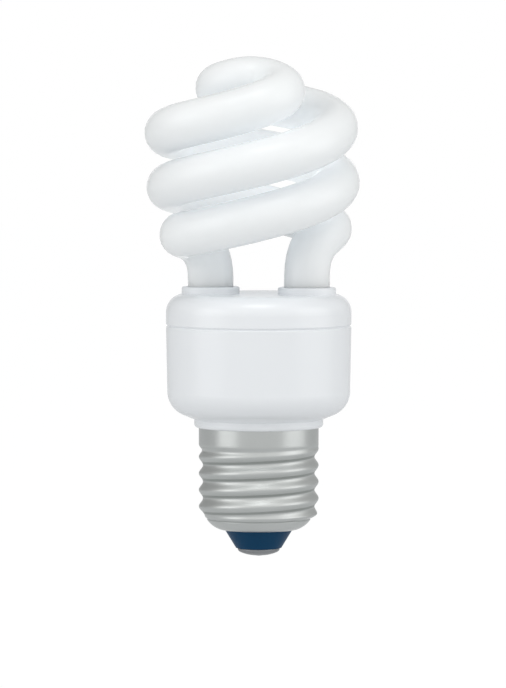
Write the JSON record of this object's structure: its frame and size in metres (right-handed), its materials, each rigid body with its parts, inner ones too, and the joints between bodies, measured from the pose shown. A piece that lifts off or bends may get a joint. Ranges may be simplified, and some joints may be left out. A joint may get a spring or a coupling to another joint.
{
  "type": "spiral fluorescent lamp",
  "caption": "Spiral fluorescent lamp: a coiled white glass tube standing on a round plastic ballast housing, with a threaded metal screw cap, a dark insulator and a domed contact.",
  "frame": {"origin": "tip of the centre contact, on the axis of the screw cap", "axes": "+Z along the cap's axis, up the lamp to the glass; +X and -X are the sides of the two glass legs; -Y is the front of the picture"},
  "size_m": [0.0469, 0.0465, 0.1092],
  "materials": {
    "lamp_glass": "gloss",
    "housing_plastic": "satin",
    "leg_cement": "matte",
    "cap_metal": "satin",
    "cap_insulator": "gloss",
    "contact_metal": "satin",
    "solder": "satin",
    "board_laminate": "matte",
    "capacitor_sleeve": "gloss",
    "film_coating": "gloss",
    "ferrite": "matte",
    "bobbin_plastic": "matte",
    "copper_wire": "satin",
    "black_epoxy": "matte",
    "diac_glass": "gloss",
    "resistor_lacquer": "matte",
    "plated_wire": "satin"
  },
  "bodies": {
    "root": {"spiral_tube": "lamp_glass", "ballast_housing": "housing_plastic", "top_cover": "housing_plastic", "leg_cement_left": "leg_cement", "leg_cement_right": "leg_cement", "screw_shell": "cap_metal", "cap_insulator": "cap_insulator", "centre_contact": "contact_metal", "contact_solder": "solder", "circuit_board": "board_laminate", "electrolytic_capacitor": "capacitor_sleeve", "resonant_capacitor": "film_coating", "coupling_capacitor": "film_coating", "choke_core": "ferrite", "ring_core": "ferrite", "filter_core": "ferrite", "choke_bobbin": "bobbin_plastic", "choke_winding": "copper_wire", "ring_winding_1": "copper_wire", "ring_winding_2": "copper_wire", "ring_winding_3": "copper_wire", "filter_winding": "copper_wire", "transistor_1": "black_epoxy", "transistor_2": "black_epoxy", "rectifier_diode_1": "black_epoxy", "rectifier_diode_2": "black_epoxy", "rectifier_diode_3": "black_epoxy", "rectifier_diode_4": "black_epoxy", "trigger_diac": "diac_glass", "base_resistor_1": "resistor_lacquer", "base_resistor_2": "resistor_lacquer", "emitter_resistor_1": "resistor_lacquer", "emitter_resistor_2": "resistor_lacquer", "start_resistor": "resistor_lacquer", "fusible_resistor": "resistor_lacquer", "wrap_pin_left_front": "plated_wire", "wrap_pin_left_back": "plated_wire", "wrap_pin_right_front": "plated_wire", "wrap_pin_right_back": "plated_wire", "filament_wire_left_front": "plated_wire", "filament_wire_left_back": "plated_wire", "filament_wire_right_front": "plated_wire", "filament_wire_right_back": "plated_wire", "neutral_wire": "plated_wire"}
  },
  "joints": []
}
